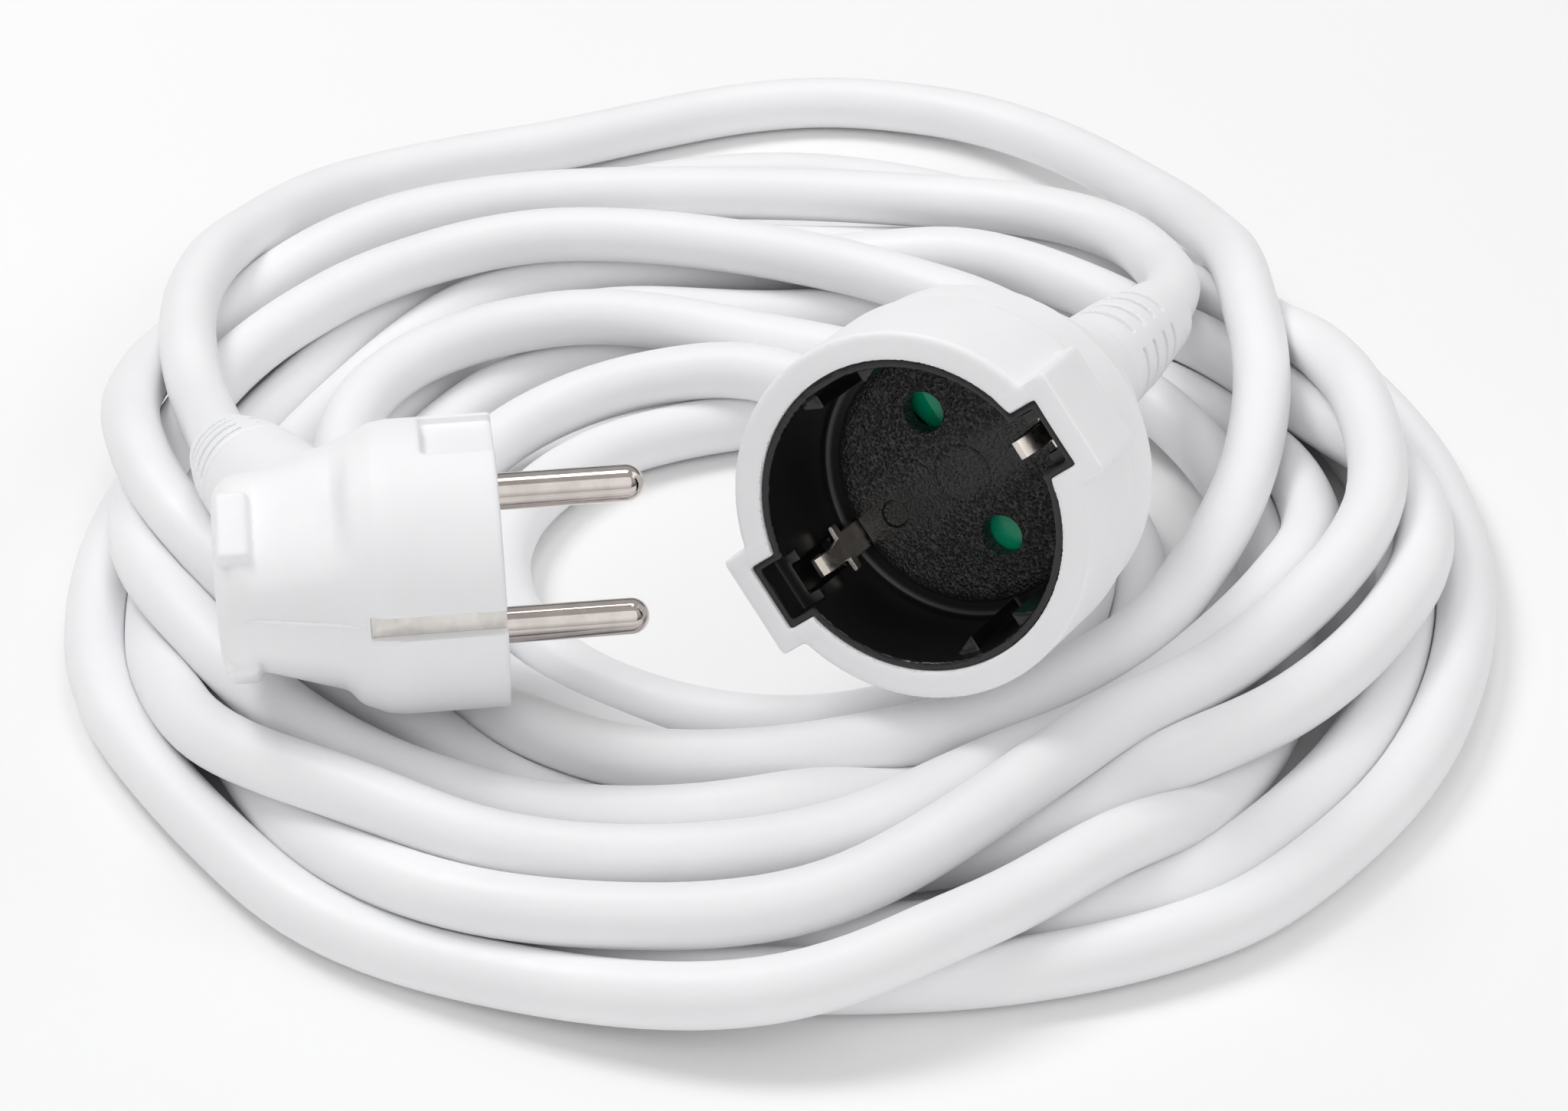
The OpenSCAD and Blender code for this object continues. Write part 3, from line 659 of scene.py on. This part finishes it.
def plug_body_shape(x, y, z):
    """Plug moulding with its cord outlet, grip panels, pads, guide grooves and earth slots."""
    barrel = both(turned(x, y, z, PLUG_PROFILE), -PLUG_LENGTH - z, edge=2.6)
    barrel = both(barrel, z, edge=0.5)
    drop = z + OUTLET_START
    along = y * math.cos(OUTLET_SLANT) - drop * math.sin(OUTLET_SLANT)
    lift = y * math.sin(OUTLET_SLANT) + drop * math.cos(OUTLET_SLANT)
    taper = (OUTLET_RADIUS - BOOT_BASE_RADIUS) / OUTLET_LENGTH
    neck = np.hypot(x, lift) - OUTLET_RADIUS + taper * along
    neck = both(neck, span(along, 0, OUTLET_LENGTH), edge=0.3)
    body = either(barrel, neck, fillet=2)
    for side in (-1, 1):
        out = side * x * math.sin(GRIP_ANGLE) - y * math.cos(GRIP_ANGLE)
        across = np.abs(side * x * math.cos(GRIP_ANGLE) + y * math.sin(GRIP_ANGLE))
        flat = np.interp(z, *zip(PANEL_BACK, PANEL_FRONT))
        panel = both(flat - out, span(z, PANEL_BACK[0], PANEL_FRONT[0]), edge=0.9)
        body = without(body, panel, edge=2)
        pad = both(span(out, PAD_TOP / 2, PAD_TOP), across - PAD_WIDTH / 2, edge=0.8)
        pad = both(pad, span(z, PAD_BACK, PANEL_BACK[0]), edge=0.8)
        body = either(body, pad, fillet=0.4)
    groove = both(np.abs(y) - GROOVE_WIDTH / 2, GROOVE_FLOOR - np.abs(x), edge=0.4)
    groove = both(groove, -GROOVE_LENGTH - z, edge=0.6)
    slot_side = np.abs(x) - PLUG_STRAP_WIDTH / 2 - FIT
    slot = both(slot_side, PLUG_STRAP_INNER - FIT - np.abs(y), edge=0.1)
    slot = both(slot, -PLUG_STRAP_END - FIT - z, edge=0.1)
    recess = both(np.hypot(x, y) - BRIDGE_RADIUS - FIT, -BRIDGE_DEPTH - FIT - z, edge=0.1)
    body = without(body, groove, edge=0.5)
    body = without(body, slot, edge=0.2)
    return without(body, recess, edge=0.2)


def coupler_shell_shape(x, y, z):
    """Round shell with two ears, a stepped rear, a tapered neck and room for the inner pieces."""
    rho = np.hypot(x, y)
    barrel = both(rho - SHELL_RADIUS, span(z, -SHELL_STEP, 0), edge=0.6)
    rear = both(rho - REAR_RADIUS, span(z, -REAR_END, -SHELL_STEP / 2), edge=0.6)
    neck = both(turned(x, y, z, NECK_PROFILE), span(z, -NECK_END, -SHELL_STEP), edge=0.4)
    shell = either(barrel, either(rear, neck, fillet=0.4), fillet=0.3)
    ears = both(np.abs(x) - EAR_WIDTH / 2, np.abs(y) - EAR_REACH - EAR_SLOPE * z, edge=0.6)
    shell = either(shell, both(ears, span(z, -EAR_LENGTH, 0), edge=0.5), fillet=0.4)
    seat = both(rho - INSERT_RADIUS - FIT, -INSERT_BACK - FIT - z, edge=0.1)
    notch = both(np.abs(x) - NOTCH_WIDTH / 2 - FIT, np.abs(y) - NOTCH_REACH - FIT, edge=0.3)
    seat = either(seat, both(notch, -NOTCH_DEPTH - FIT - z, edge=0.1), fillet=0.1)
    hollow = both(turned(x, y, z, HOLLOW_PROFILE), z + INSERT_BACK, edge=0.1)
    strap_side = np.abs(x) - CLIP_WIDTH / 2 - 2 * FIT
    strap = both(strap_side, np.abs(y) - CLIP_PLACE - STRAP_ROOM, edge=0.1)
    strap = both(strap, span(z, -STRAP_BACK, -INSERT_BACK), edge=0.1)
    shell = without(shell, seat, edge=0.4)
    return without(shell, np.minimum(hollow, strap), edge=0.1)


def coupler_insert_shape(x, y, z):
    """Black cup with earth notches, guide ribs and pin holes."""
    rho = np.hypot(x, y)
    cup = both(rho - INSERT_RADIUS, span(z, -INSERT_BACK, -INSERT_FRONT), edge=0.2)
    frame_block = both(np.abs(x) - NOTCH_WIDTH / 2, np.abs(y) - NOTCH_REACH, edge=0.3)
    frame_block = both(frame_block, span(z, -NOTCH_DEPTH, -INSERT_FRONT), edge=0.2)
    cup = either(cup, frame_block, fillet=0.1)
    recess = both(rho - RECESS_RADIUS, -RECESS_DEPTH - z, edge=0.9)
    rib_face = RIB_REACH + RIB_SLOPE * (np.abs(y) - RIB_START) - rho
    rib = both(rib_face, RIB_START - np.abs(y), edge=0.2)
    rib = both(both(rib, z + RIB_TOP, edge=0.2), RECESS_RADIUS / 2 - np.abs(x), edge=0)
    recess = without(recess, rib, edge=0.2)
    ledge = both(np.abs(x) - NOTCH_WIDTH / 2 + WALL, np.abs(y) - NOTCH_REACH + WALL, edge=0.3)
    ledge = both(ledge, -LEDGE_DEPTH - z, edge=0.2)
    slot_side = np.abs(x) - CLIP_WIDTH / 2 - CLIP_ROOM
    slot = both(slot_side, np.abs(y) - INSERT_RADIUS - STRAP_ROOM, edge=0.2)
    slot = both(slot, -NOTCH_DEPTH + WALL - z, edge=0.2)
    room = either(either(recess, ledge, fillet=0.1), slot, fillet=0.1)
    cup = without(cup, room, edge=0.25)
    strap_side = np.abs(x) - CLIP_WIDTH / 2 - 2 * FIT
    strap = both(strap_side, np.abs(np.abs(y) - CLIP_PLACE) - STRAP_ROOM, edge=0.1)
    cup = without(cup, both(strap, z + LEDGE_DEPTH, edge=0.1), edge=0.1)
    cup = without(cup, np.hypot(np.abs(x) - PIN_OFFSET, y) - PIN_HOLE_RADIUS, edge=0.35)
    dimple = np.hypot(x, y - DIMPLE_OFFSET) - DIMPLE_RADIUS
    dimple = both(dimple, -RECESS_DEPTH - DIMPLE_DEPTH - z, edge=0.2)
    return without(cup, dimple, edge=0.2)


def boot_shape(length, pitch, slit, depth):
    """Strain relief along Z, with rows of short slits on the two sides across Y, in turn."""
    heights = (0, 0.5 * length, length)
    radii = (BOOT_BASE_RADIUS, BOOT_MIDDLE_RADIUS, BOOT_TIP_RADIUS)

    def shape(x, y, z):
        rho = np.hypot(x, y)
        radius = np.interp(z, heights, radii)
        body = both(rho - radius, span(z, 0, length), edge=0.8)
        for half in (0, 1):
            phase = z / pitch - SLIT_PHASE - 0.5 * half
            sheet = pitch * np.abs(phase - np.round(phase)) - slit / 2
            beside = SLIT_GAP * rho - np.minimum((1 - 2 * half) * y, np.abs(x))
            cut = np.maximum(np.maximum(sheet, radius - depth - rho), beside)
            cut = np.maximum(cut, span(z, SLITS_START * pitch, SLITS_END * pitch))
            body = without(body, cut, edge=0.2)
        return body
    return shape


def lathe(profile, sides=48):
    """A turned skin from (height, radius) pairs."""
    turn = np.arange(sides) * 2 * math.pi / sides
    return loft([np.stack([radius * np.cos(turn), radius * np.sin(turn), np.full(sides, z)], 1)
                 for z, radius in profile])


def strip(path, thickness):
    """A flat strip bent along a path of (y, z, width) in the YZ plane and centred in X."""
    path = np.array(path, float)
    ahead = np.gradient(path[:, :2], axis=0)
    ahead /= np.linalg.norm(ahead, axis=1)[:, None]
    rings = []
    for (y, z, width), (dy, dz) in zip(path, ahead):
        rings.append([(side * width / 2, y - dz * face * thickness / 2, z + dy * face * thickness / 2)
                      for side, face in STRIP_SECTION])
    return loft(rings)


def on_outlet(along):
    """A point on the plug's cord outlet, in the plug's own frame."""
    return 0, along * math.cos(OUTLET_SLANT), -OUTLET_START - along * math.sin(OUTLET_SLANT)


def moulding(name, shape, low, high, cell, material, place, node):
    """A moulded piece that stands for a CAD node."""
    piece = add_piece(name, skin(shape, low, high, cell), material, place)
    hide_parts(node)
    return piece


plug_body = moulding(
    "plug_moulding", plug_body_shape, low=(-21, -21, -43), high=(21, 41, 2), cell=0.42,
    material=SHELL, place=plug, node="plug_body")
moulding(
    "coupler_moulding", coupler_shell_shape, low=(-26, -29, -62), high=(26, 29, 2), cell=0.46,
    material=SHELL, place=coupler, node="coupler_shell")
moulding(
    "coupler_cup", coupler_insert_shape, low=(-22, -26, -22), high=(22, 26, 1), cell=0.34,
    material=CUP, place=coupler, node="coupler_insert")

# Boots, with Z along the cord
plug_boot_place = (plug @ Matrix.Translation(Vector(on_outlet(OUTLET_LENGTH)) * MM)
                   @ Matrix.Rotation(-math.pi / 2 - OUTLET_SLANT, 4, "X"))
plug_boot = moulding(
    "plug_boot", boot_shape(PLUG_BOOT, pitch=2.2, slit=0.6, depth=0.8),
    low=(-9, -9, -1), high=(9, 9, PLUG_BOOT + 1), cell=0.26,
    material=SHELL, place=plug_boot_place, node="plug_strain_relief")
coupler_boot_place = (coupler @ Matrix.Translation((0, 0, -NECK_END * MM))
                      @ Matrix.Rotation(math.pi, 4, "X"))
moulding(
    "coupler_boot", boot_shape(COUPLER_BOOT, pitch=4.4, slit=1.1, depth=1.4),
    low=(-9, -9, -1), high=(9, 9, COUPLER_BOOT + 1), cell=0.32,
    material=SHELL, place=coupler_boot_place, node="coupler_strain_relief")

# Pins
tip_turns = np.linspace(0, math.pi / 2 - TIP_FLAT, TIP_RINGS)
tip = [(PIN_LENGTH - PIN_RADIUS + PIN_RADIUS * math.sin(angle), PIN_RADIUS * math.cos(angle))
       for angle in tip_turns]
for node, side in (("live_pin", 1), ("neutral_pin", -1)):
    place = plug @ Matrix.Translation((PIN_OFFSET * side * MM, 0, 0))
    pin = add_piece("plug_" + node, lathe(PIN_TAIL + tip), NICKEL, place)
    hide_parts(node)

# Earth strap of the coupler
strap_end = STRAP_BAR[::-1] + CLIP_PATH
strap_path = [(-y, z, width) for y, z, width in strap_end[::-1]] + strap_end
strap = add_piece("coupler_earth_strip", strip(strap_path, STRAP_THICKNESS), CLIP, coupler)
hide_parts("coupler_earth_strap")

# Fine marks of the moulds: a ring on the coupler's floor and the plug's parting line
ring_height = -RECESS_DEPTH - RING_SINK
ring_line = np.array([(RING_RADIUS * math.cos(angle), RING_RADIUS * math.sin(angle), ring_height)
                      for angle in np.linspace(0, 2 * math.pi, RING_POINTS)])
ring_tube = tube(ring_line, RING_LINE, FINE_LINE_SIDES)
add_piece("floor_ring", ring_tube, CUP, coupler)
seam_points = [(SEAM_DRIFT * k, -radius, z) for k, (radius, z) in enumerate(SEAM)]
seam_tube = tube(smooth_route(seam_points, SEAM_STEP), SEAM_RADIUS, FINE_LINE_SIDES)
seam_line = add_piece("plug_seam", seam_tube, SHELL, plug)


# Lead, from inside the plug to inside the coupler
def outlet(along):
    """A point on the plug's cord outlet, in the part's frame."""
    return in_part(plug, on_outlet(along))


def block(place, start, end, start_radius, end_radius):
    """A block that the lead stays out of, given in a face's own frame."""
    return np.array(in_part(place, start)), np.array(in_part(place, end)), start_radius, end_radius


route_points = [outlet(along) for along in OUTLET_STATIONS] + PLUG_LEAD + coil_points(*FIRST_TURN)
for turn_radii, turn_heights in TURNS:
    route_points += coil_points(FIRST_ANGLE, turn_radii, turn_heights)
route_points += coil_points(*LAST_TURN) + COUPLER_LEAD
route_points += [in_part(coupler, (0, 0, -along)) for along in COUPLER_STATIONS]

blocks = [block(plug, *values) for values in PLUG_BLOCKS]
blocks += [block(coupler, *values) for values in COUPLER_BLOCKS]
blocks += [(np.array(outlet(start)), np.array(outlet(end)), *radii)
           for start, end, *radii in OUTLET_BLOCKS]
blocks.append(block(coupler, *COUPLER_BOOT_BLOCK))
lead_line = settle(smooth_route(route_points, STEP), HELD, blocks)
lead = add_piece("lead", tube(lead_line, CORD_RADIUS, CORD_SIDES), SHEATH)
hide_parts("plug_lead", "coupler_lead", "cord_coil")

# Stage
floor_mesh = bpy.data.meshes.new("floor")
floor_corners = [(x * FLOOR_REACH, y * FLOOR_REACH, 0) for x, y in ((-1, -1), (1, -1), (1, 1), (-1, 1))]
floor_mesh.from_pydata(floor_corners, [], [(0, 1, 2, 3)])
floor = bpy.data.objects.new("floor", floor_mesh)
bpy.context.scene.collection.objects.link(floor)
paper = Shader("floor_paper", Roughness=0.9)
clouds = paper.noise(scale=3, detail=2)
paper.drive(paper.ramp(clouds, [(0.3, 0.93), (0.7, 0.95)]), "Base Color")
floor_mesh.materials.append(paper.material)

# Studio: a pale dome that darkens towards the horizon, and soft lights
world = bpy.data.worlds.new("studio")
bpy.context.scene.world = world
world.use_nodes = True
sky_nodes, sky_links = world.node_tree.nodes, world.node_tree.links
direction = sky_nodes.new("ShaderNodeTexCoord")
height = sky_nodes.new("ShaderNodeSeparateXYZ")
dome = sky_nodes.new("ShaderNodeValToRGB")
sky_links.new(direction.outputs["Generated"], height.inputs["Vector"])
sky_links.new(height.outputs["Z"], dome.inputs["Fac"])
sky_links.new(dome.outputs["Color"], sky_nodes["Background"].inputs["Color"])
for element, (position, tone) in zip(dome.color_ramp.elements, DOME_STOPS):
    element.position = position
    element.color = (tone, tone, tone, 1)
sky_nodes["Background"].inputs["Strength"].default_value = DOME_STRENGTH


def softbox(name, place, size, power):
    """A square light that looks at the coil."""
    light = bpy.data.lights.new(name, "AREA")
    light.size = size
    light.energy = power
    lamp = bpy.data.objects.new(name, light)
    lamp.location = place
    towards = Vector(LIGHT_TARGET) - Vector(place)
    lamp.rotation_euler = towards.to_track_quat("-Z", "Y").to_euler()
    bpy.context.scene.collection.objects.link(lamp)


for softbox_values in SOFTBOXES:
    softbox(*softbox_values)
